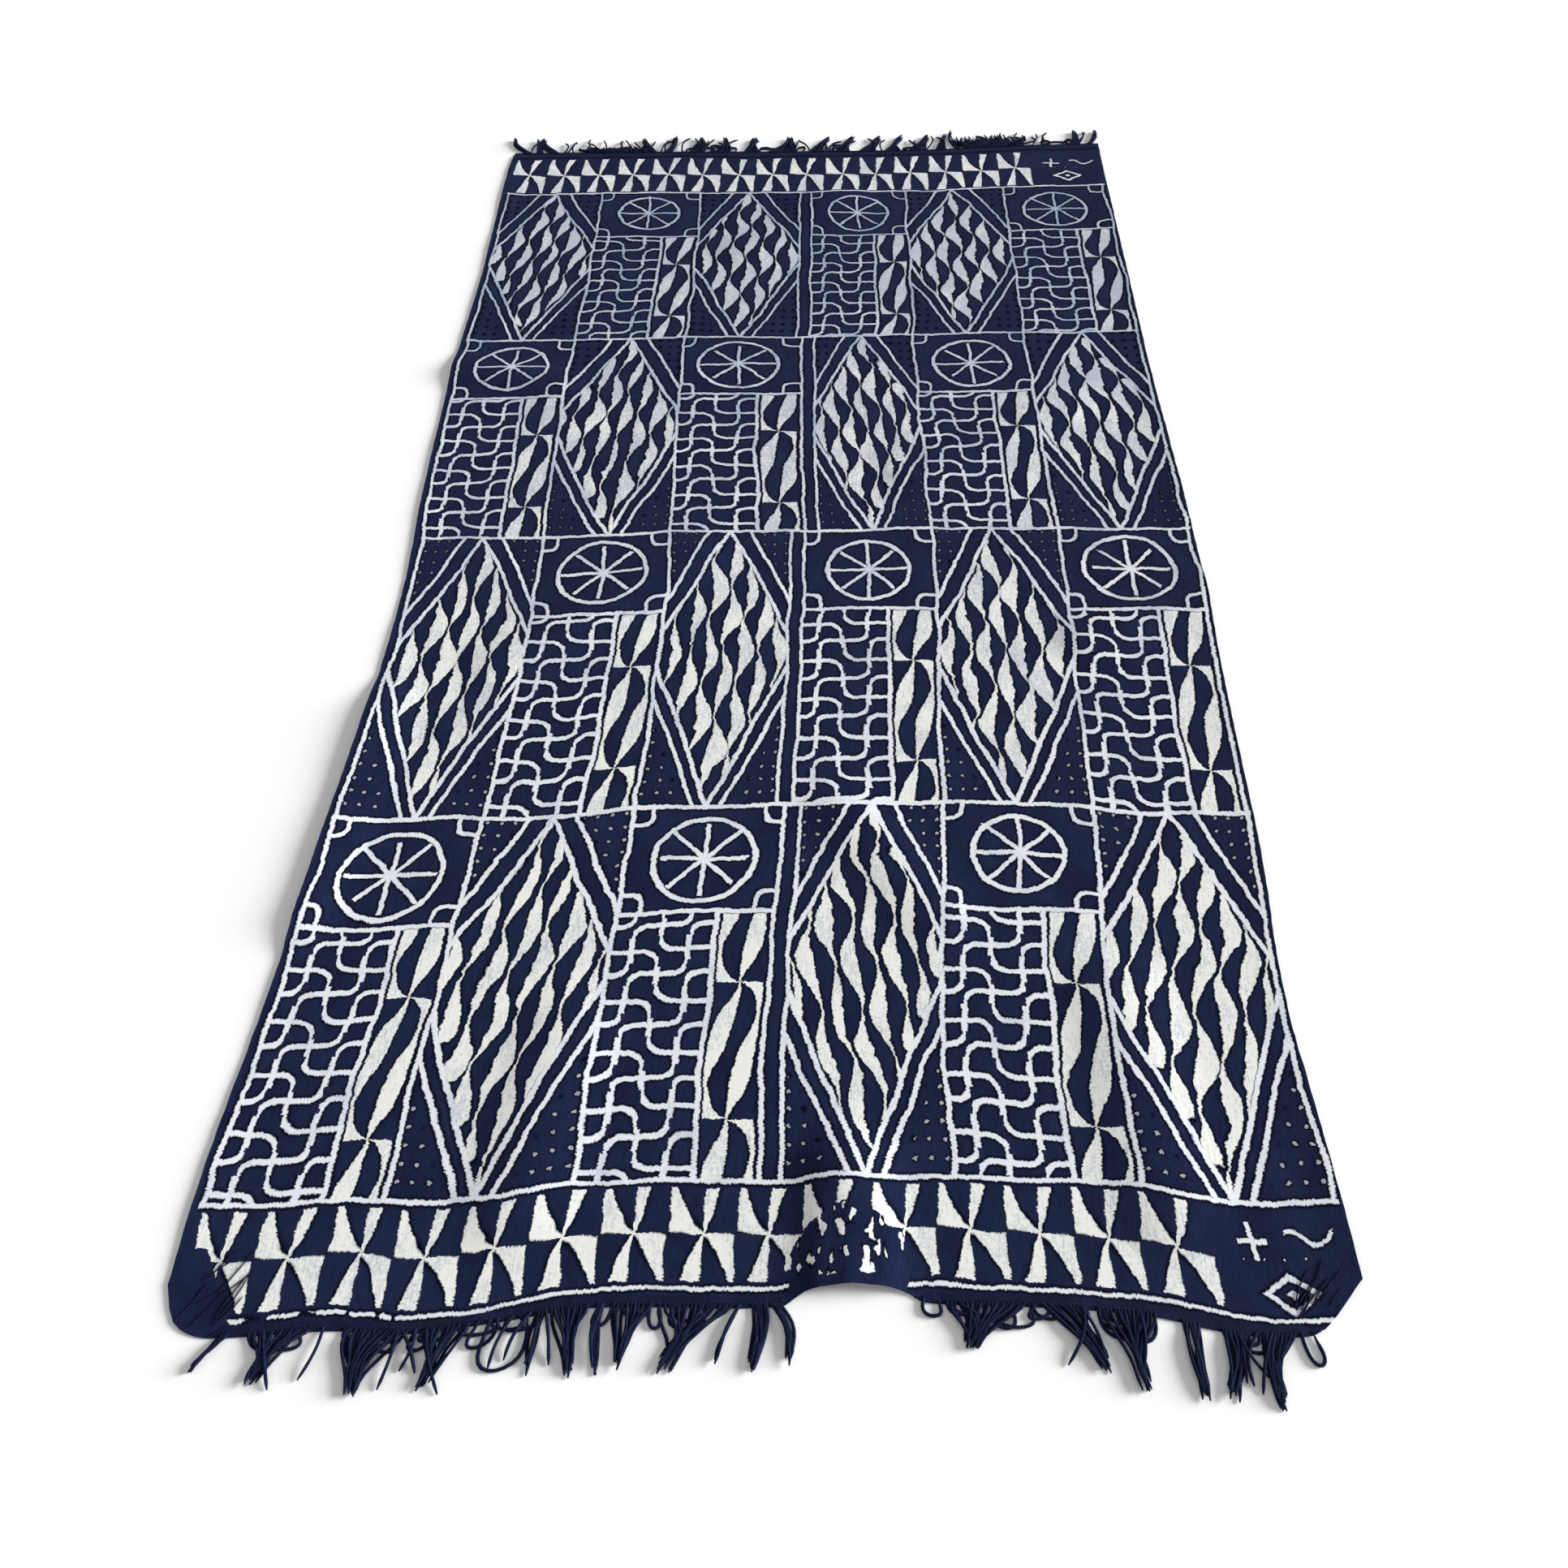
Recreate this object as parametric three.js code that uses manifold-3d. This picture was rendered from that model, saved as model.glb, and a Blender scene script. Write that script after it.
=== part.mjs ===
import * as THREE from 'three';
import { mergeVertices } from 'three/addons/utils/BufferGeometryUtils.js';
import Module from 'manifold-3d';

// A fringed, indigo resist-dyed cotton cloth lying spread on a floor.
// Millimetres, +Z up, the near end towards -Y. The floor is z = 0.

// Driving dimensions
const clothThickness = 1.5;
const hemWidth = 966; // straight across the near hem
const fringeStrip = 9; // depth of the plain strip that carries the fringe
const stripTaper = 14; // length over which a strip narrows at its end
const stripOverrun = 4; // how much of that taper lies past the strip's end
const pieceGap = 0.3;
const strandWidth = 1.7;
const strandHeight = 1.6;
const strandGap = 0.9;
const rootShare = 0.55; // how far a strand's root reaches into its strip
const unevenness = 0.04; // how far a tuft's tips differ in length
const strandSteps = 3;
const loopSteps = 8;
const alongParts = 36; // rows of the sheet, closer together at the near hem
const nearCrowding = 0.4;
const buckleReach = 320; // how far from the near hem the buckle's close columns spread out again

// Side edges of the cloth, from the near end to the far end
const sides = [
  { y: -960, left: -482, right: 484 },
  { y: -827, left: -483, right: 481 },
  { y: -650, left: -474, right: 473 },
  { y: -481, left: -468, right: 482 },
  { y: -289, left: -461, right: 485 },
  { y: -97, left: -463, right: 490 },
  { y: 57, left: -474, right: 490 },
  { y: 325, left: -486, right: 485 },
  { y: 560, left: -487, right: 485 },
  { y: 890, left: -498, right: 485 },
  { y: 980, left: -492, right: 486 },
];

// Outer edge of the near end: rounded corners, a waved hem, and a stretch pulled in by the buckle
const nearHem = [
  { x: -483, y: -918 },
  { x: -474, y: -942 },
  { x: -461, y: -954 },
  { x: -438, y: -959 },
  { x: -345, y: -953 },
  { x: -285, y: -955 },
  { x: -215, y: -946 },
  { x: -140, y: -934 },
  { x: 14, y: -932 },
  { x: 32, y: -921 },
  { x: 70, y: -916 },
  { x: 110, y: -919 },
  { x: 130, y: -928 },
  { x: 215, y: -931 },
  { x: 305, y: -937 },
  { x: 376, y: -951 },
  { x: 432, y: -952 },
  { x: 449, y: -943 },
  { x: 483, y: -908 },
];

// Outer edge of the far end, a little longer on the right
const farHem = [
  { x: -483, y: 941 },
  { x: -270, y: 946 },
  { x: 0, y: 948 },
  { x: 200, y: 954 },
  { x: 330, y: 967 },
  { x: 483, y: 975 },
];

// Columns of the sheet along the near hem: how many parts up to each place
const hemColumns = [
  { x: -438, parts: 3 },
  { x: -428, parts: 1 },
  { x: 8, parts: 9 },
  { x: 18, parts: 1 },
  { x: 26, parts: 1 },
  { x: 116, parts: 10 },
  { x: 124, parts: 1 },
  { x: 134, parts: 1 },
  { x: 428, parts: 6 },
  { x: 438, parts: 1 },
  { x: 483, parts: 3 },
];

// Soft ridges of the laid cloth: a line on the floor, half the ridge's width, and its height
const ridges = [
  { x0: 70, y0: -932, x1: 66, y1: -820, half: 56, height: 9 }, // arch of the buckle at the near hem
  { x0: -212, y0: -845, x1: -190, y1: -690, half: 62, height: 5 },
  { x0: 338, y0: -845, x1: 316, y1: -650, half: 62, height: 5 },
  { x0: -452, y0: -300, x1: -474, y1: -560, half: 58, height: 7 },
  { x0: -330, y0: -230, x1: -120, y1: -60, half: 56, height: 4 },
  { x0: 150, y0: 100, x1: 350, y1: 240, half: 60, height: 4 },
  { x0: -492, y0: 330, x1: -340, y1: 300, half: 50, height: 6 },
  { x0: 484, y0: -110, x1: 340, y1: -190, half: 54, height: 5 },
  { x0: 60, y0: -430, x1: 150, y1: -560, half: 56, height: 4 },
  { x0: -90, y0: 640, x1: 60, y1: 780, half: 66, height: 4 },
];

// Three short pleats pinched into the arch of the buckle
const pleats = { from: 28, to: 112, count: 3, height: 2.2, start: -925, length: 110 };

// Fringe strips, by the stretch of hem they run along and the way their strands point along Y
const nearLeftStrip = { hem: nearHem, from: -438, to: 18, out: -1 };
const nearRightStrip = { hem: nearHem, from: 124, to: 438, out: -1 };
const farStrip = { hem: farHem, from: -500, to: 500, out: 1 };

// Tufts of the fringe. roots is the width the strands leave the hem over, reach how far the tips
// stand out from it, lean how far they are drawn sideways, bow the bend on the way.
// A tuft's strands gather towards its tip; open ones stay spread.
const nearLeftTufts = [
  { x: -424, roots: 6, strands: 2, reach: 25, lean: -21, bow: 2 },
  { x: -382, roots: 46, strands: 6, reach: 37, lean: -13, bow: 3 },
  { x: -306, roots: 50, strands: 7, reach: 45, lean: -10, bow: -3 },
  { x: -251, roots: 34, strands: 6, reach: 42, lean: -10, bow: 2 },
  { x: -177, roots: 5, strands: 2, reach: 45, lean: -6, bow: 1 },
  { x: -155, roots: 28, strands: 5, reach: 50, lean: 5, bow: -2 },
  { x: -131, roots: 5, strands: 2, reach: 49, lean: 0, bow: -1 },
  { x: -104, roots: 30, strands: 4, reach: 49, lean: -9, bow: 2 },
  { x: -54, roots: 58, strands: 8, reach: 48, lean: -22, bow: 7 },
  { x: -19, roots: 0, strands: 1, reach: 43, lean: -17, bow: 3 },
  { x: -3, roots: 10, strands: 4, reach: 47, lean: -5, bow: 5 },
  { x: 9, roots: 5, strands: 3, reach: 44, lean: 12, bow: 3 },
];
const nearRightTufts = [
  { x: 178, roots: 62, strands: 8, reach: 32, lean: -13, bow: 2 },
  { x: 236, roots: 28, strands: 5, reach: 46, lean: 33, bow: -3 },
  { x: 290, roots: 44, strands: 6, reach: 57, lean: 8, bow: -3 },
  { x: 340, roots: 12, strands: 4, reach: 54, lean: 3, bow: -2 },
  { x: 374, roots: 20, strands: 5, reach: 48, lean: -10, bow: 4 },
  { x: 408, roots: 24, strands: 5, reach: 53, lean: -8, bow: -3 },
];
const farTufts = [
  { x: -472, roots: 8, strands: 3, reach: 46, lean: -30, bow: -2 },
  { x: -456, roots: 5, strands: 2, reach: 44, lean: -6, bow: 0 },
  { x: -428, roots: 12, strands: 4, reach: 46, lean: -26, bow: -2 },
  { x: -330, roots: 78, strands: 6, reach: 15, lean: 4, bow: 0, open: true },
  { x: -262, roots: 10, strands: 3, reach: 40, lean: -22, bow: 2 },
  { x: -238, roots: 10, strands: 3, reach: 48, lean: 8, bow: 3 },
  { x: -192, roots: 26, strands: 4, reach: 44, lean: 6, bow: 4 },
  { x: -147, roots: 24, strands: 5, reach: 43, lean: 2, bow: 2 },
  { x: -97, roots: 24, strands: 5, reach: 42, lean: 3, bow: -3 },
  { x: -46, roots: 44, strands: 6, reach: 44, lean: 10, bow: 3 },
  { x: 10, roots: 24, strands: 4, reach: 43, lean: 20, bow: -4 },
  { x: 54, roots: 24, strands: 3, reach: 46, lean: 18, bow: -5 },
  { x: 96, roots: 26, strands: 4, reach: 44, lean: 20, bow: -4 },
  { x: 138, roots: 24, strands: 3, reach: 46, lean: 16, bow: -5 },
  { x: 180, roots: 26, strands: 4, reach: 45, lean: 18, bow: -4 },
  { x: 220, roots: 18, strands: 3, reach: 47, lean: 8, bow: -3 },
  { x: 247, roots: 0, strands: 1, reach: 60, lean: -8, bow: -4 },
  { x: 308, roots: 92, strands: 8, reach: 38, lean: 0, bow: 0, open: true },
  { x: 444, roots: 16, strands: 4, reach: 41, lean: 4, bow: 2 },
  { x: 470, roots: 9, strands: 3, reach: 42, lean: 14, bow: 2 },
];

// Strands that turn back on themselves and are held at both ends
const nearLeftLoops = [{ start: -217, end: -188, reach: 40, lean: -4 }];
const nearRightLoops = [
  { start: 128, end: 140, reach: 13, lean: 1 },
  { start: 425, end: 434, reach: 26, lean: 7 },
];

const indigo = new THREE.MeshStandardMaterial({ color: 0x1d2850, roughness: 0.9, metalness: 0 });
const yarnBlue = new THREE.MeshStandardMaterial({ color: 0x141c3d, roughness: 0.95, metalness: 0 });

// Height of a smooth curve through one column of a table, at a place along another
function follow(table, along, column, place) {
  const slope = (i) => {
    const a = table[Math.max(i - 1, 0)];
    const b = table[Math.min(i + 1, table.length - 1)];
    return (b[column] - a[column]) / (b[along] - a[along]);
  };
  let i = 0;
  while (i < table.length - 2 && place > table[i + 1][along]) i += 1;
  const from = table[i];
  const to = table[i + 1];
  const length = to[along] - from[along];
  const t = THREE.MathUtils.clamp((place - from[along]) / length, 0, 1);
  const rise = to[column] - from[column];
  const startBend = slope(i) * length - rise;
  const endBend = -slope(i + 1) * length + rise;
  return from[column] + rise * t + t * (1 - t) * (startBend * (1 - t) + endBend * t);
}

function hemY(strip, x) {
  return follow(strip.hem, 'x', 'y', x);
}

// The depth a fringe strip has at a place along the hem
function stripDepth(strip, x) {
  const start = THREE.MathUtils.smoothstep(x - strip.from + stripOverrun, 0, stripTaper);
  const end = THREE.MathUtils.smoothstep(strip.to + stripOverrun - x, 0, stripTaper);
  return fringeStrip * start * end;
}

function nearEdge(x) {
  const depth = stripDepth(nearLeftStrip, x) + stripDepth(nearRightStrip, x);
  return follow(nearHem, 'x', 'y', x) + depth + pieceGap * Math.min(depth, 1);
}

function farEdge(x) {
  return follow(farHem, 'x', 'y', x) - fringeStrip - pieceGap;
}

// Place across the cloth, from 0 at its left edge to 1 at its right, at a distance along it
function sideX(across, y) {
  const left = follow(sides, 'y', 'left', y);
  const right = follow(sides, 'y', 'right', y);
  return THREE.MathUtils.lerp(left, right, across);
}

function ridgeHeight(ridge, x, y) {
  const line = new THREE.Vector2(ridge.x1 - ridge.x0, ridge.y1 - ridge.y0);
  const place = new THREE.Vector2(x - ridge.x0, y - ridge.y0);
  const t = THREE.MathUtils.clamp(place.dot(line) / line.lengthSq(), 0, 1);
  const away = place.addScaledVector(line, -t).length() / ridge.half;
  return away < 1 ? ridge.height * (1 - away * away) ** 2 : 0;
}

function pleatHeight(x, y) {
  const across = (x - pleats.from) / (pleats.to - pleats.from);
  const fade = 1 - (y - pleats.start) / pleats.length;
  if (across < 0 || across > 1 || fade < 0) return 0;
  return pleats.height * Math.min(fade, 1) * (1 - Math.cos(across * pleats.count * 2 * Math.PI)) / 2;
}

function clothHeight(x, y) {
  return ridges.reduce((z, ridge) => z + ridgeHeight(ridge, x, y), pleatHeight(x, y));
}

// Places of the sheet's columns on the near hem, as x on a straight hem of the full width
const columns = [-hemWidth / 2];
for (const { x, parts } of hemColumns) {
  const start = columns.at(-1);
  for (let i = 1; i <= parts; i += 1) columns.push(start + (x - start) * i / parts);
}
const acrossParts = columns.length - 1;

// A box of one layer whose points are moved to where place(column, row) puts them
function layer(columnCount, rowCount, place) {
  const geometry = new THREE.BoxGeometry(columnCount, rowCount, 1, columnCount, rowCount, 1);
  const points = geometry.attributes.position;
  for (let i = 0; i < points.count; i += 1) {
    const column = Math.round(points.getX(i) + columnCount / 2);
    const row = Math.round(points.getY(i) + rowCount / 2);
    const [x, y, z] = place(column, row);
    points.setXYZ(i, x, y, points.getZ(i) > 0 ? z + clothThickness : z);
  }
  return geometry;
}

function clothSheet() {
  return layer(acrossParts, alongParts, (column, row) => {
    const even = column / acrossParts;
    const crowded = columns[column] / hemWidth + 0.5;
    const t = row / alongParts;
    const along = t * (1 - nearCrowding + nearCrowding * t);
    const spread = (farEdge(0) - nearEdge(0)) * along / buckleReach;
    const across = THREE.MathUtils.lerp(crowded, even, THREE.MathUtils.smoothstep(spread, 0, 1));
    const hemX = (across - 0.5) * hemWidth;
    const y = THREE.MathUtils.lerp(nearEdge(hemX), farEdge(hemX), along);
    const x = sideX(across, y);
    return [x, y, clothHeight(x, y)];
  });
}

function nearStripLayer(strip) {
  const first = columns.indexOf(strip.from);
  const last = columns.indexOf(strip.to);
  return layer(last - first, 1, (column, row) => {
    const hemX = columns[first + column];
    const hem = hemY(strip, hemX);
    const y = row === 0 ? hem : hem + stripDepth(strip, hemX);
    return [sideX(hemX / hemWidth + 0.5, y), y, 0];
  });
}

function farStripLayer() {
  return layer(acrossParts, 1, (column, row) => {
    const across = column / acrossParts;
    const hem = hemY(farStrip, (across - 0.5) * hemWidth);
    const y = row === 0 ? hem - fringeStrip : hem;
    return [sideX(across, y), y, 0];
  });
}

// A square-sided strand through points on the floor
function strand(points, steps) {
  const middle = strandHeight / 2;
  const route = new THREE.CatmullRomCurve3(points.map(([x, y]) => new THREE.Vector3(x, y, middle)));
  const section = new THREE.Shape();
  section.moveTo(-middle, -strandWidth / 2);
  section.lineTo(middle, -strandWidth / 2);
  section.lineTo(middle, strandWidth / 2);
  section.lineTo(-middle, strandWidth / 2);
  return new THREE.ExtrudeGeometry(section, { steps, bevelEnabled: false, extrudePath: route });
}

// Where a strand leaves its strip, a little inside the outer edge
function rootPoint(strip, x) {
  return [x, hemY(strip, x) - strip.out * rootShare * stripDepth(strip, x)];
}

// The strands of one tuft, out from the hem
function tuft(row, strip) {
  const slant = Math.hypot(row.reach, row.lean) / row.reach;
  const tipPitch = (strandWidth + strandGap) * slant;
  const rootPitch = row.strands > 1 ? Math.max(row.roots / (row.strands - 1), tipPitch) : 0;
  const strands = [];
  for (let i = 0; i < row.strands; i += 1) {
    const place = i - (row.strands - 1) / 2;
    const rootX = row.x + place * rootPitch;
    const tipX = row.x + row.lean + place * (row.open ? rootPitch : tipPitch);
    const rootY = hemY(strip, rootX);
    const reach = row.reach * (1 - unevenness * Math.abs(Math.sin(2.3 * i + row.x)));
    const bend = (t) => rootX + (tipX - rootX) * t * (1.6 - 0.6 * t) + row.bow * Math.sin(Math.PI * t);
    const points = [rootPoint(strip, rootX)];
    for (const t of [0.33, 0.66, 1]) points.push([bend(t), rootY + strip.out * reach * t]);
    strands.push(strand(points, strandSteps));
  }
  return strands;
}

function loop(row, strip) {
  const startY = hemY(strip, row.start);
  const endY = hemY(strip, row.end);
  const middle = (row.start + row.end) / 2 + row.lean;
  const halfWidth = (row.end - row.start) / 2;
  return strand([
    rootPoint(strip, row.start),
    [middle - 1.15 * halfWidth, startY + strip.out * row.reach * 0.5],
    [middle, (startY + endY) / 2 + strip.out * row.reach],
    [middle + 1.15 * halfWidth, endY + strip.out * row.reach * 0.5],
    rootPoint(strip, row.end),
  ], loopSteps);
}

const wasm = await Module();
wasm.setup();

// A closed solid of a geometry, its faces turned outwards
function solidOf(geometry) {
  const bare = geometry.clone();
  bare.deleteAttribute('normal');
  bare.deleteAttribute('uv');
  const merged = mergeVertices(bare, 1e-4);
  const vertProperties = new Float32Array(merged.attributes.position.array);
  const triVerts = new Uint32Array(merged.index.array);
  const corner = (i) => new THREE.Vector3().fromArray(vertProperties, 3 * triVerts[i]);
  let volume = 0;
  for (let i = 0; i < triVerts.length; i += 3) volume += corner(i).dot(corner(i + 1).cross(corner(i + 2)));
  if (volume < 0) {
    for (let i = 0; i < triVerts.length; i += 3) {
      [triVerts[i], triVerts[i + 1]] = [triVerts[i + 1], triVerts[i]];
    }
  }
  return new wasm.Manifold(new wasm.Mesh({ numProp: 3, vertProperties, triVerts }));
}

function geometryOf(solid) {
  const mesh = solid.getMesh();
  const geometry = new THREE.BufferGeometry();
  geometry.setAttribute('position', new THREE.BufferAttribute(mesh.vertProperties, 3));
  geometry.setIndex(new THREE.BufferAttribute(mesh.triVerts, 1));
  geometry.computeVertexNormals();
  return geometry;
}

// A fringe: its strip with every strand fused into it at the root
function fringe(strip, stripLayer, tufts, loops) {
  let solid = solidOf(stripLayer);
  const strands = tufts.flatMap((row) => tuft(row, strip));
  for (const row of loops) strands.push(loop(row, strip));
  for (const piece of strands) solid = solid.add(solidOf(piece));
  return geometryOf(solid);
}

function piece(name, geometry, material) {
  const mesh = new THREE.Mesh(geometry, material);
  mesh.name = name;
  return mesh;
}

const spread = new THREE.Group();
spread.add(
  piece('cloth', geometryOf(solidOf(clothSheet())), indigo),
  piece(
    'fringe_near_left',
    fringe(nearLeftStrip, nearStripLayer(nearLeftStrip), nearLeftTufts, nearLeftLoops),
    yarnBlue,
  ),
  piece(
    'fringe_near_right',
    fringe(nearRightStrip, nearStripLayer(nearRightStrip), nearRightTufts, nearRightLoops),
    yarnBlue,
  ),
  piece('fringe_far', fringe(farStrip, farStripLayer(), farTufts, []), yarnBlue),
);

// The origin is the middle of the whole outline, on the floor
const outline = new THREE.Box3().setFromObject(spread);
spread.position.set(-(outline.min.x + outline.max.x) / 2, -(outline.min.y + outline.max.y) / 2, 0);

const part = new THREE.Group();
part.add(spread);

export default part;
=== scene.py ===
import math
import random
import bpy
import mathutils
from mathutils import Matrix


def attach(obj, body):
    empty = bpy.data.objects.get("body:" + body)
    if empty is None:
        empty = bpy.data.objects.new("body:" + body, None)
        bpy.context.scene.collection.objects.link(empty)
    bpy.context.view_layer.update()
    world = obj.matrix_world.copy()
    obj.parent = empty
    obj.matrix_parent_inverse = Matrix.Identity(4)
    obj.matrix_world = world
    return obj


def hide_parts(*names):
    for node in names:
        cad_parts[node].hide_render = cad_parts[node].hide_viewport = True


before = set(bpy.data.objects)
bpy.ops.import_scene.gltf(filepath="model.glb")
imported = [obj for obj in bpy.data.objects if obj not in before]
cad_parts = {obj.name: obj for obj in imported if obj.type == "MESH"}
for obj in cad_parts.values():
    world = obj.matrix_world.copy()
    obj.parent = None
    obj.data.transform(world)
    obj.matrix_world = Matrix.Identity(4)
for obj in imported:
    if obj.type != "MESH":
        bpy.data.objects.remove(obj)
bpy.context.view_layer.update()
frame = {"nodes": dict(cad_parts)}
print("frame loaded:", ", ".join(frame["nodes"]))

# the laid cloth is charted from the middle of its weave, this far from the frame's origin
laidShift = (0.00774, -0.00527)


# camera: photo taken standing at the near end, looking down
cameraView = {
    "spot": (0.0730, -1.2531, 1.0857),
    "tiltDown": 52.03,
    "turn": 0.701,
    "roll": -0.358,
    "lens": 30.121,
    "sensor": 36,
    "shiftX": -0.03385,
}


def makeCamera():
    data = bpy.data.cameras.new("viewCamera")
    data.lens = cameraView["lens"]
    data.sensor_width = cameraView["sensor"]
    data.shift_x = cameraView["shiftX"]
    data.dof.use_dof = False
    camera = bpy.data.objects.new("viewCamera", data)
    bpy.context.scene.collection.objects.link(camera)
    turned = mathutils.Matrix.Rotation(math.radians(cameraView["turn"]), 4, "Z")
    tipped = mathutils.Matrix.Rotation(math.radians(90 - cameraView["tiltDown"]), 4, "X")
    rolled = mathutils.Matrix.Rotation(math.radians(cameraView["roll"]), 4, "Z")
    camera.matrix_world = mathutils.Matrix.Translation(cameraView["spot"]) @ turned @ tipped @ rolled
    bpy.context.scene.camera = camera
    print("camera ready")


makeCamera()


# studio: pale floor, even sky, one broad soft light from the right
studio = {
    "floorSize": 400.0,
    "floorColour": (0.94, 0.94, 0.94),
    "floorRoughness": 0.85,
    "floorGloss": 0.1,
    "skyStrength": 0.45,
    "keyStrength": 7.5,
    "keySpread": 26.0,
    "keyFrom": (6.0, 1.3, 1.7),
}


def newMaterial(name, roughness, gloss):
    material = bpy.data.materials.new(name)
    material.use_nodes = True
    shader = material.node_tree.nodes["Principled BSDF"]
    shader.inputs["Roughness"].default_value = roughness
    shader.inputs["Specular IOR Level"].default_value = gloss
    return material, shader


def makeStudio():
    bpy.ops.object.select_all(action="DESELECT")
    bpy.ops.mesh.primitive_plane_add(size=studio["floorSize"], location=(0, 0, 0))
    floor = bpy.context.object
    floor.name = "studioFloor"
    paint, shader = newMaterial("floorPaint", studio["floorRoughness"], studio["floorGloss"])
    shader.inputs["Base Color"].default_value = (*studio["floorColour"], 1)
    floor.data.materials.append(paint)
    world = bpy.data.worlds.new("studioSky")
    world.use_nodes = True
    sky = world.node_tree.nodes["Background"]
    sky.inputs["Color"].default_value = (1, 1, 1, 1)
    sky.inputs["Strength"].default_value = studio["skyStrength"]
    bpy.context.scene.world = world
    lamp = bpy.data.lights.new("softKey", "SUN")
    lamp.energy = studio["keyStrength"]
    lamp.angle = math.radians(studio["keySpread"])
    key = bpy.data.objects.new("softKey", lamp)
    bpy.context.scene.collection.objects.link(key)
    key.location = studio["keyFrom"]
    key.rotation_euler = (-mathutils.Vector(studio["keyFrom"])).to_track_quat("-Z", "Y").to_euler()
    bpy.context.scene.view_settings.view_transform = "Standard"
    print("studio ready")


makeStudio()


# outline of the laid cloth, in metres: side edges by distance along, hems by distance across
sideEdges = {
    "y": (-0.960, -0.827, -0.650, -0.481, -0.289, -0.097, 0.057, 0.325, 0.560, 0.890, 0.980),
    "left": (-0.482, -0.483, -0.474, -0.468, -0.461, -0.463, -0.474, -0.486, -0.487, -0.498, -0.492),
    "right": (0.484, 0.481, 0.473, 0.482, 0.485, 0.490, 0.490, 0.485, 0.485, 0.485, 0.486),
}
nearHem = {
    "x": (-0.483, -0.474, -0.461, -0.438, -0.345, -0.285, -0.215, -0.140, 0.014, 0.032,
          0.070, 0.110, 0.130, 0.215, 0.305, 0.376, 0.432, 0.449, 0.483),
    "y": (-0.918, -0.942, -0.954, -0.959, -0.953, -0.955, -0.946, -0.934, -0.932, -0.921,
          -0.916, -0.919, -0.928, -0.931, -0.937, -0.951, -0.952, -0.943, -0.908),
}
# where the dyed pattern starts: straight past the rounded corners and the buckle
dyedHem = {
    "x": (-0.483, -0.430, -0.345, -0.285, -0.215, -0.140, 0.014,
          0.130, 0.215, 0.305, 0.376, 0.432, 0.483),
    "y": (-0.951, -0.950, -0.944, -0.946, -0.937, -0.925, -0.923,
          -0.919, -0.922, -0.928, -0.942, -0.943, -0.943),
}
farHem = {
    "x": (-0.483, -0.270, 0.000, 0.200, 0.330, 0.483),
    "y": (0.941, 0.946, 0.948, 0.954, 0.967, 0.975),
}


def follow(places, heights, place):
    # smooth curve through the given points
    last = len(places) - 1
    i = 0
    while i < last - 1 and place > places[i + 1]:
        i += 1

    def slope(k):
        a = max(k - 1, 0)
        b = min(k + 1, last)
        return (heights[b] - heights[a]) / (places[b] - places[a])

    length = places[i + 1] - places[i]
    t = min(max((place - places[i]) / length, 0), 1)
    rise = heights[i + 1] - heights[i]
    startBend = slope(i) * length - rise
    endBend = rise - slope(i + 1) * length
    return heights[i] + rise * t + t * (1 - t) * (startBend * (1 - t) + endBend * t)


def ease(value, low, high):
    t = min(max((value - low) / (high - low), 0), 1)
    return t * t * (3 - 2 * t)


def sideX(across, y):
    left = follow(sideEdges["y"], sideEdges["left"], y)
    right = follow(sideEdges["y"], sideEdges["right"], y)
    return left + (right - left) * across


# cloth: one sheet on the folds of its solid
clothSheet = {
    "columns": 150,
    "rows": 260,
    "thickness": 0.0015,
    "hemWidth": 0.966,
    "stripDepth": 0.009,
    "stripTaper": 0.014,
    "stripOverrun": 0.004,
    "stripColumn": 0.006,
    "flatSize": (0.968, 1.880),
    "edgeLift": 0.0026,
    "edgeLiftWaves": 11,
    "edgeRagged": 0.0007,
    "edgeRaggedWaves": 90,
    "edgeFade": 30,
    "smoothAngle": 50,
}
strips = {
    "fringe_near_left": {"hem": nearHem, "start": -0.438, "stop": 0.018, "out": -1},
    "fringe_near_right": {"hem": nearHem, "start": 0.124, "stop": 0.438, "out": -1},
    "fringe_far": {"hem": farHem, "start": -0.500, "stop": 0.500, "out": 1},
}
# soft ridges: a line on the floor, half the ridge's width, its height
ridgeLines = (
    {"start": (0.070, -0.932), "stop": (0.066, -0.820), "half": 0.056, "height": 0.009},
    {"start": (-0.212, -0.845), "stop": (-0.190, -0.690), "half": 0.062, "height": 0.005},
    {"start": (0.338, -0.845), "stop": (0.316, -0.650), "half": 0.062, "height": 0.005},
    {"start": (-0.452, -0.300), "stop": (-0.474, -0.560), "half": 0.058, "height": 0.007},
    {"start": (-0.330, -0.230), "stop": (-0.120, -0.060), "half": 0.056, "height": 0.004},
    {"start": (0.150, 0.100), "stop": (0.350, 0.240), "half": 0.060, "height": 0.004},
    {"start": (-0.492, 0.330), "stop": (-0.340, 0.300), "half": 0.050, "height": 0.006},
    {"start": (0.484, -0.110), "stop": (0.340, -0.190), "half": 0.054, "height": 0.005},
    {"start": (0.060, -0.430), "stop": (0.150, -0.560), "half": 0.056, "height": 0.004},
    {"start": (-0.090, 0.640), "stop": (0.060, 0.780), "half": 0.066, "height": 0.004},
)
bucklePleats = {
    "left": 0.028,
    "right": 0.112,
    "count": 3,
    "height": 0.0022,
    "start": -0.925,
    "length": 0.110,
}


def hemY(strip, x):
    return follow(strip["hem"]["x"], strip["hem"]["y"], x)


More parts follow.
